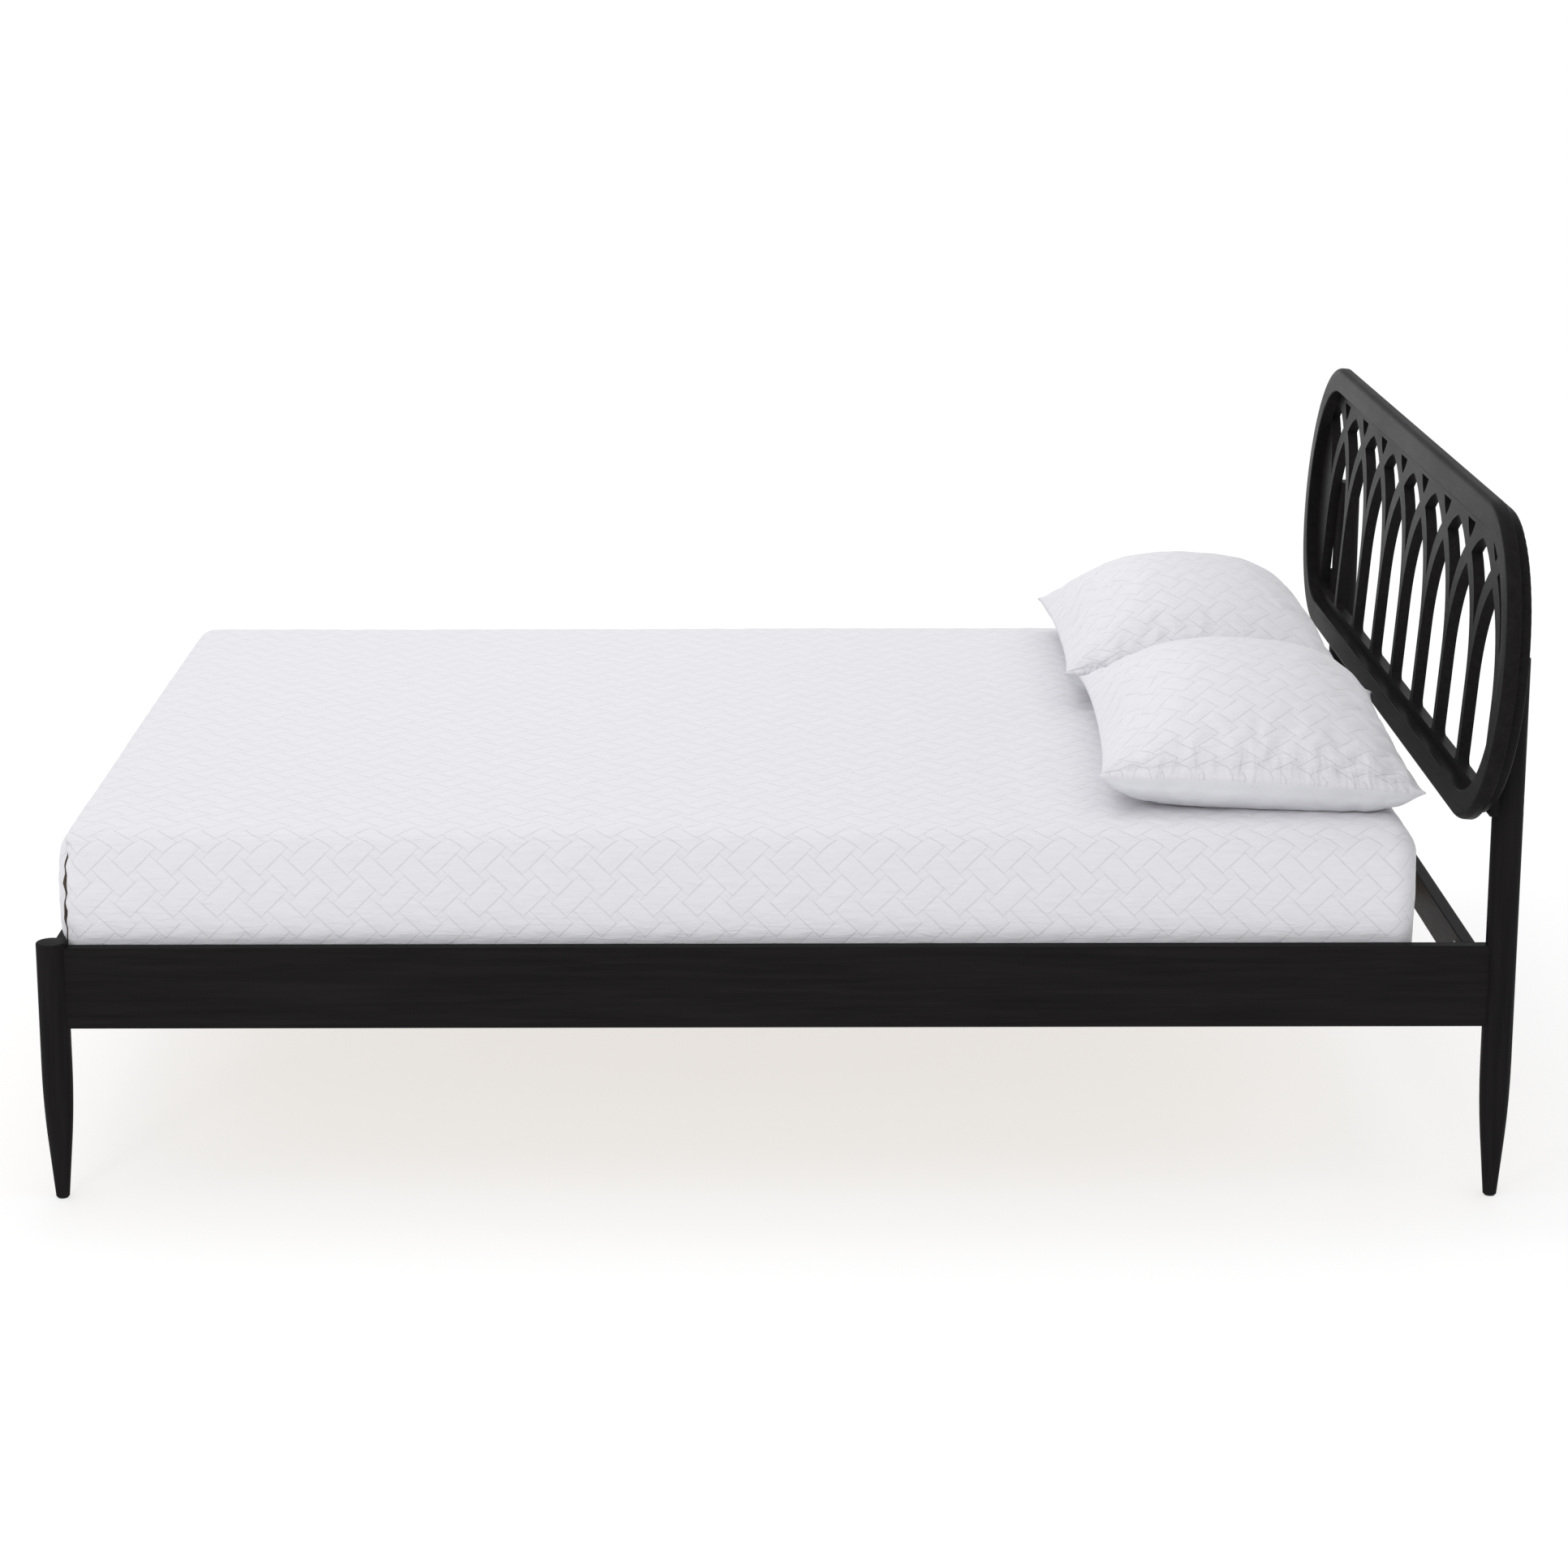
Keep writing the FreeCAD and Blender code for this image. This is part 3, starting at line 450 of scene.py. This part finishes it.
# The grain of a black piece: along the bed, across it or upright
def grain_axis(node):
    if node.startswith("side_rail"):
        return 0
    if "leg" in node or "post" in node or "wedge" in node:
        return 2
    return 1


for node, item in frame["nodes"].items():
    slot = slot_of[node]
    item.data.materials.clear()
    item.data.materials.append(finish_of[slot] if slot in finish_of else black_wood[grain_axis(node)])


def finished(name, bm, body, slot, *materials):
    mesh = bpy.data.meshes.new(name)
    bm.to_mesh(mesh)
    bm.free()
    piece = bpy.data.objects.new(name, mesh)
    scene.collection.objects.link(piece)
    for material in materials:
        mesh.materials.append(material)
    for polygon in mesh.polygons:
        polygon.use_smooth = True
    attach(piece, body)
    return piece


# A merged copy of a black piece, smooth on its rounds and softened on its arrises where a width is given
def softened(node, width=0.0):
    bm = bmesh.new()
    bm.from_mesh(frame["nodes"][node].data)
    bmesh.ops.remove_doubles(bm, verts=bm.verts, dist=touching)
    bmesh.ops.dissolve_limit(bm, angle_limit=flat_angle, verts=bm.verts, edges=bm.edges)
    piece = finished(node + "_wood", bm, "frame", slot_of[node], black_wood[grain_axis(node)])
    piece.data.set_sharp_from_angle(angle=sharp_angle)
    if width:
        edge = piece.modifiers.new("Softening", "BEVEL")
        edge.width = width
        edge.segments = 2
        edge.limit_method = "ANGLE"
        edge.angle_limit = arris_angle
        edge.harden_normals = True
    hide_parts(node)


# A box from corner to corner, cut into a number of cells along each axis
def gridded_box(low, high, cells, open_below=False):
    bm = bmesh.new()
    bmesh.ops.create_cube(bm, size=1.0)
    bmesh.ops.scale(bm, vec=high - low, verts=bm.verts)
    bmesh.ops.translate(bm, vec=(low + high) / 2.0, verts=bm.verts)
    if open_below:
        below = min(bm.faces, key=lambda face: face.calc_center_median().z)
        bmesh.ops.delete(bm, geom=[below], context="FACES_ONLY")
    for axis in range(3):
        along = [
            edge for edge in bm.edges
            if abs((edge.verts[1].co - edge.verts[0].co)[axis]) > touching
        ]
        if cells[axis] > 1:
            bmesh.ops.subdivide_edges(bm, edges=along, cuts=cells[axis] - 1, use_grid_fill=True)
    bm.normal_update()
    return bm


def cells_of(low, high, step):
    return [max(round(side / step), 1) for side in high - low]


# Rounds the box's edges and corners: each point goes to its place on a ball rolled round the inner box
def rolled(point, low, high, radius):
    core = Vector((
        min(max(point.x, low.x + radius), high.x - radius),
        min(max(point.y, low.y + radius), high.y - radius),
        min(point.z, high.z - radius),
    ))
    out = point - core
    if not out.length:
        return point, Vector((0.0, 0.0, 1.0))
    out.normalize()
    return core + out * radius, out


# Draws a point in behind the rails as its height falls through a band above their top edges
def tuck(place, height, band, foot_gap, side_gap):
    share = smooth(rail_top + band[0], rail_top + band[1], height)
    tight_x = foot_rail_inner_x + foot_gap
    tight_y = rail_inner_y - side_gap
    if abs(place.y) > tight_y:
        place.y += share * (math.copysign(tight_y, place.y) - place.y)
    if place.x < tight_x:
        place.x += share * (tight_x - place.x)
    return share


# Where a point of the plain box comes to lie on the cover: rolled edges, swollen sides, a crowned top
def cover_place(flat, low, high, rise):
    place, out = rolled(flat, low, high, cover_round)
    climb = min(max((flat.z - rail_top) / (high.z - rail_top), 0.0), 1.0)
    bow = math.sin(math.pi * min(climb * cover_bow_rate, 1.0))
    place.x += out.x * (cover_foot_swell if out.x < 0.0 else cover_head_swell) * bow
    place.y += out.y * cover_side_swell * bow
    width = 1.0 - (place.y / high.y) ** 2
    ends = smooth(0.0, cover_crown_run, place.x - low.x) * smooth(0.0, cover_crown_run, high.x - place.x)
    eased = cover_crown_end_share + (1.0 - cover_crown_end_share) * ends
    place.z += cover_crown * width * max(out.z, 0.0) * eased
    wave = cover_wave * unevenness(flat, cover_wave_scales, cover_wave_seed)
    ripple = cover_ripple * unevenness(flat, cover_ripple_scales, cover_ripple_seed)
    return place + out * (min(wave + ripple, cover_lift_limit) + strip_relief * rise)


# How a point near an open seam moves: it drifts outwards higher up, puckers inwards and parts at its lips
def slit_move(flat, low, high, tucked, lip_side, lining):
    near = math.exp(-(Vector((flat.x - low.x, abs(flat.y) - high.y)).length / slit_reach) ** 2)
    if near <= slit_least_share or flat.z >= high.z - slit_top_clearance:
        return Vector()
    side = math.copysign(1.0, flat.y)
    along = Vector((1.0, side, 0.0)).normalized()
    inward = Vector((1.0, -side, 0.0)).normalized()
    drift = slit_drift_low + slit_drift_rise * smooth(rail_top, high.z, flat.z)
    drift += slit_drift_wave * math.sin(flat.z * slit_drift_wave_rate)
    wave = math.sin(flat.z * slit_pucker_wave_rate + slit_pucker_wave_start)
    pucker = (slit_pucker + slit_pucker_wave * wave) * smooth(rail_top, rail_top + slit_fade, flat.z)
    move = along * drift * near * (1.0 - tucked) + inward * pucker * near
    if lining:
        return move + inward * slit_lining
    parted = 1.0 + slit_gap_wave_share * math.sin(flat.z * slit_gap_wave_rate)
    parted *= smooth(slit_top, slit_top - slit_fade, flat.z)
    parted *= smooth(rail_top + slit_foot_band[0], rail_top + slit_foot_band[1], flat.z)
    return move + along * lip_side * slit_gap / 2.0 * parted


# Fitted quilted cover with its panels sewn at the corners; the two foot corners are left open
def make_cover():
    low = cover_low + Vector((cover_foot_swell, cover_side_swell, cover_hem_lift))
    high = cover_high - Vector((cover_head_swell, cover_side_swell, cover_crown))
    bm = gridded_box(low, high, cells_of(low, high, cover_step), open_below=True)
    uv = bm.loops.layers.uv.new("cloth")
    stand = {}

    def facing(face):
        return max(range(3), key=lambda axis: abs(face.normal[axis]))

    def on_slit(vert):
        at_foot = abs(vert.co.x - low.x) < touching
        at_side = abs(abs(vert.co.y) - high.y) < touching
        return at_foot and at_side and vert.co.z < slit_top

    def along_slit(edge):
        return on_slit(edge.verts[0]) and on_slit(edge.verts[1])

    for face in bm.faces:
        axis = facing(face)
        for loop in face.loops:
            place = loop.vert.co
            drop = high.z - place.z
            if axis == 2:
                loop[uv].uv = (place.x, place.y)
            elif axis == 1:
                loop[uv].uv = (place.x, place.y + math.copysign(drop, place.y))
            else:
                loop[uv].uv = (place.x + math.copysign(drop, place.x), place.y)
            stand[loop.vert] = strip_rise(*loop[uv].uv)
    bmesh.ops.split_edges(bm, edges=[edge for edge in bm.edges if along_slit(edge)])
    lip_side = {
        vert: -1.0 if facing(vert.link_faces[0]) == 0 else 1.0
        for vert in bm.verts if on_slit(vert)
    }
    mouth = [edge for edge in bm.edges if edge.is_boundary and along_slit(edge)]
    lined = bmesh.ops.extrude_edge_only(bm, edges=mouth)["geom"]
    for item in lined:
        if isinstance(item, bmesh.types.BMFace):
            item.material_index = 1
    lining = {item for item in lined if isinstance(item, bmesh.types.BMVert)}
    for vert in bm.verts:
        flat = vert.co.copy()
        place = cover_place(flat, low, high, stand.get(vert, 0.0))
        tucked = tuck(place, flat.z, cover_tuck_band, cover_foot_gap, cover_side_gap)
        vert.co = place + slit_move(flat, low, high, tucked, lip_side.get(vert, 0.0), vert in lining)
    piece = finished("quilted_coverlet", bm, "mattress", "quilt", quilt, dark_slit_lining)
    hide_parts("coverlet")
    return piece


def make_mattress():
    low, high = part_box("mattress")
    low = low + Vector((mattress_foot_inset, mattress_inset, 0.0))
    high = high - Vector((mattress_inset, mattress_inset, mattress_top_inset))
    bm = gridded_box(low, high, cells_of(low, high, mattress_step))
    for vert in bm.verts:
        place, out = rolled(vert.co, low, high, mattress_round)
        tuft = unevenness(place, mattress_tuft_scales)
        tuck(place, place.z, mattress_tuck_band, mattress_rail_gap, mattress_rail_gap)
        if place.z > low.z + mattress_base:
            place -= out * mattress_tuft * (1.0 + tuft)
        vert.co = place
    piece = finished("mattress_block", bm, "mattress", "ticking", ticking)
    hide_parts("mattress")


def cover_top_at(y):
    return cover_high.z - cover_crown * (y / cover_high.y) ** 2


# Evens out a field of moves over a mesh, each point but the held ones taking the mean of its neighbours
def evened(mesh, moves, held, rounds):
    beside = [[] for _ in moves]
    for edge in mesh.edges:
        one, two = edge.vertices
        beside[one].append(two)
        beside[two].append(one)
    for _ in range(rounds):
        moves = [
            moves[index] if index in held else sum((moves[other] for other in near), Vector()) / len(near)
            for index, near in enumerate(beside)
        ]
    return moves


# Height of a domed panel over the seam, from its full height in the middle down to a corner's
def dome(full, run, across, fullness, end_fullness, power):
    rise = pillow_corner + (full - pillow_corner) * max(1.0 - abs(run) ** end_fullness, 0.0) ** power
    return rise * max(1.0 - abs(across) ** fullness[across > 0.0], 0.0) ** power


# Where a point of a pillow stands before it is laid: across and along go from -1 to 1, side up or down
def pillow_point(across, along, side, at_seam, crown, sag, seed):
    run = math.sin(math.pi / 2.0 * along)
    x = (pillow_width / 2.0 - pillow_lip - pillow_draw * math.cos(math.pi / 2.0 * along)) * across
    y = pillow_reach * run
    z = pillow_rim
    if at_seam:
        x += pillow_lip * across
        y += pillow_lip * along
    else:
        z += pillow_uneven * unevenness((x, y, 0.0), pillow_uneven_scales, seed)
        if side > 0.0:
            z += dome(crown, run, across, top_fullness, top_end_fullness, top_power)
            z += strip_relief * strip_rise(across * pillow_cloth_across, along * pillow_cloth_along)
        else:
            z += dome(sag, run, across, belly_fullness, belly_end_fullness, belly_power)
    arch = pillow_arch * math.cos(math.pi / 2.0 * across) * run * run
    return Vector((x, y, math.copysign(z, side) + arch))


# Lets a pillow's cloth out and blows it up against its pinned seam, and gives how far each point moves
def blown_up(piece, seam):
    piece.vertex_groups.new(name="seam").add(seam, 1.0, "REPLACE")
    cloth = piece.modifiers.new("Cloth", "CLOTH")
    cloth.collision_settings.use_collision = False
    cloth.settings.effector_weights.gravity = 0.0
    for name, value in pillow_fabric.items():
        setattr(cloth.settings, name, value)
    for step in range(1, pillow_steps + 1):
        scene.frame_set(step)
    blown = piece.evaluated_get(bpy.context.evaluated_depsgraph_get()).data
    moves = [vert.co - first.co for vert, first in zip(blown.vertices, piece.data.vertices)]
    piece.modifiers.clear()
    scene.frame_set(1)
    return moves


# Two panels sewn at a knife edge: a domed outline with the gathers and loose creases of the blown cloth
def make_pillow(name, node, middle, crown, sag, turns, seed):
    bm = gridded_box(Vector((-1.0, -1.0, -0.5)), Vector((1.0, 1.0, 0.5)), pillow_cells)
    uv = bm.loops.layers.uv.new("cloth")
    for face in bm.faces:
        face.material_index = 1 if face.normal.z < -0.5 else 0
        for loop in face.loops:
            loop[uv].uv = (loop.vert.co.x * pillow_cloth_across, loop.vert.co.y * pillow_cloth_along)
    seam = []
    for index, vert in enumerate(bm.verts):
        across, along, side = vert.co
        at_seam = max(abs(across), abs(along)) > 1.0 - touching
        if at_seam:
            seam.append(index)
        vert.co = pillow_point(across, along, side, at_seam, crown, sag, seed)
    piece = finished(name, bm, node, "pillow_cloth", pillow_quilt, pillow_plain)
    moves = blown_up(piece, seam)
    broad = evened(piece.data, moves, set(seam), crease_rounds)
    laying = Matrix.Translation(middle)
    for axis, turn in zip("ZYX", turns):
        laying = laying @ Matrix.Rotation(math.radians(turn), 4, axis)
    for vert, move, slow in zip(piece.data.vertices, moves, broad):
        above = vert.co.z > pillow_rim + pillow_arch
        crease = (move - slow * crease_broad_share) * (crease_share if above else crease_share_below)
        if crease.length > crease_limit:
            crease *= crease_limit / crease.length
        place = vert.co + crease
        if abs(vert.co.y) < pillow_reach:
            place.y = min(max(place.y, -pillow_reach), pillow_reach)
        laid = laying @ place
        laid.z = max(laid.z, cover_top_at(laid.y) + pillow_clearance)
        vert.co = laid
    rounder = piece.modifiers.new("Rounding", "SUBSURF")
    rounder.levels = 1
    rounder.render_levels = 1
    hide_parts(node)


softened("fretwork_board", board_arris)
for node in (
    "ring_top_rail", "ring_bottom_rail", "ring_end_right", "ring_end_left",
    "foot_leg_right", "foot_leg_left", "head_post_right", "head_post_left",
    "side_rail_right", "side_rail_left", "foot_rail", "head_cross_rail",
):
    softened(node)
cover = make_cover()
make_mattress()
make_pillow(
    "near_pillow", "pillow_right", middle=(0.7585, -0.334, 0.6264),
    crown=0.129, sag=0.060, turns=(-2.43, 2.64, 0.34), seed=1.7,
)
make_pillow(
    "far_pillow", "pillow_left", middle=(0.7535, 0.361, 0.629),
    crown=0.142, sag=0.060, turns=(-0.68, 2.4, -0.5), seed=5.3,
)

# Studio: white floor, soft lights, white surround
floor_half = 120.0


def make_floor():
    bm = bmesh.new()
    bmesh.ops.create_grid(bm, x_segments=1, y_segments=1, size=floor_half)
    mesh = bpy.data.meshes.new("floor")
    bm.to_mesh(mesh)
    bm.free()
    item = bpy.data.objects.new("floor", mesh)
    scene.collection.objects.link(item)
    made = Finish("white floor")
    made.set(Base_Color=(0.40, 0.40, 0.40, 1.0), Roughness=0.9, Specular_IOR_Level=0.1)
    made.set(Emission_Color=(1.0, 1.0, 1.0, 1.0), Emission_Strength=0.60)
    mesh.materials.append(made.material)


def soft_light(name, place, target, size, power):
    data = bpy.data.lights.new(name, "AREA")
    data.shape = "RECTANGLE"
    data.size, data.size_y = size
    data.energy = power
    item = bpy.data.objects.new(name, data)
    item.location = place
    item.rotation_euler = (Vector(target) - Vector(place)).to_track_quat("-Z", "Y").to_euler()
    scene.collection.objects.link(item)


make_floor()
soft_light("top", place=(-0.7, 0.8, 4.3), target=(0.0, 0.0, 0.4), size=(2.0, 1.2), power=26.0)
soft_light("left", place=(-2.6, -5.2, 2.2), target=(0.2, 0.0, 0.5), size=(0.8, 1.8), power=33.0)
soft_light("back", place=(-0.3, 4.6, 0.75), target=(1.05, 0.0, 1.0), size=(3.0, 1.3), power=12.0)

scene.world = bpy.data.worlds.new("studio")
scene.world.use_nodes = True
surround = scene.world.node_tree.nodes["Background"].inputs
surround["Color"].default_value = (1.0, 1.0, 1.0, 1.0)
surround["Strength"].default_value = 1.0

# Camera, as fitted to the photograph, with its pixel sizes and places
photo_width = 1932.0
photo_focal_length = 4540.0
photo_centre_x = 915.0
photo_centre_y = 900.0
film_width = 36.0
camera_place = (-0.0505, -6.130, 2.024)
camera_dip = 13.52
camera_roll = -0.106
camera_far_end = 400.0

eye = bpy.data.cameras.new("camera")
eye.sensor_width = film_width
eye.lens = film_width * photo_focal_length / photo_width
eye.shift_x = (photo_width / 2.0 - photo_centre_x) / photo_width
eye.shift_y = -(photo_width / 2.0 - photo_centre_y) / photo_width
eye.clip_end = camera_far_end
camera = bpy.data.objects.new("camera", eye)
camera.matrix_world = (
    Matrix.Translation(camera_place)
    @ Matrix.Rotation(math.radians(90.0 - camera_dip), 4, "X")
    @ Matrix.Rotation(math.radians(camera_roll), 4, "Z")
)
scene.collection.objects.link(camera)
scene.camera = camera
scene.view_settings.view_transform = "Standard"
